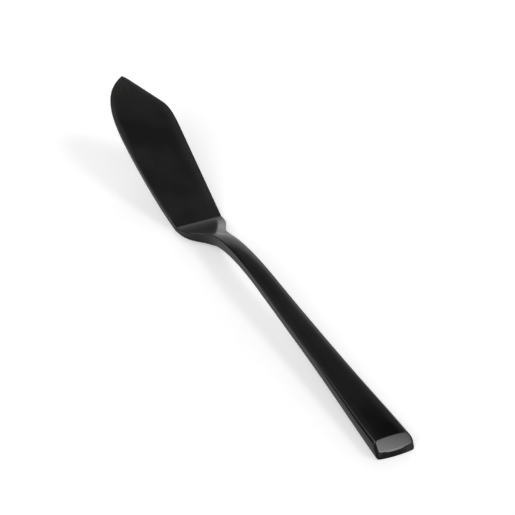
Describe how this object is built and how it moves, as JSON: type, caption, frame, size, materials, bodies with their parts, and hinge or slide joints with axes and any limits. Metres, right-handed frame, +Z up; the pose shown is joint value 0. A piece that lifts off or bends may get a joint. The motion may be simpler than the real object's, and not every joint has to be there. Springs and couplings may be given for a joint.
{
  "type": "butter knife",
  "caption": "Black coated steel butter knife: flat spreading blade with a ramped heel, raised neck and a slim tapered handle with a chamfered butt.",
  "frame": {"origin": "centre of the bounding box in plan, on the table under the knife", "axes": "+X along the knife from the butt to the tip, +Y towards the curved spreading edge, +Z up from the table"},
  "size_m": [0.17, 0.0178, 0.0197],
  "materials": {
    "blade": "glossy black coating on steel",
    "handle": "glossy black coating on steel",
    "braze_filler": "as cast, silver brazing alloy"
  },
  "bodies": {
    "root": {"blade": "blade", "handle": "handle", "braze_filler": "braze_filler"}
  },
  "joints": []
}
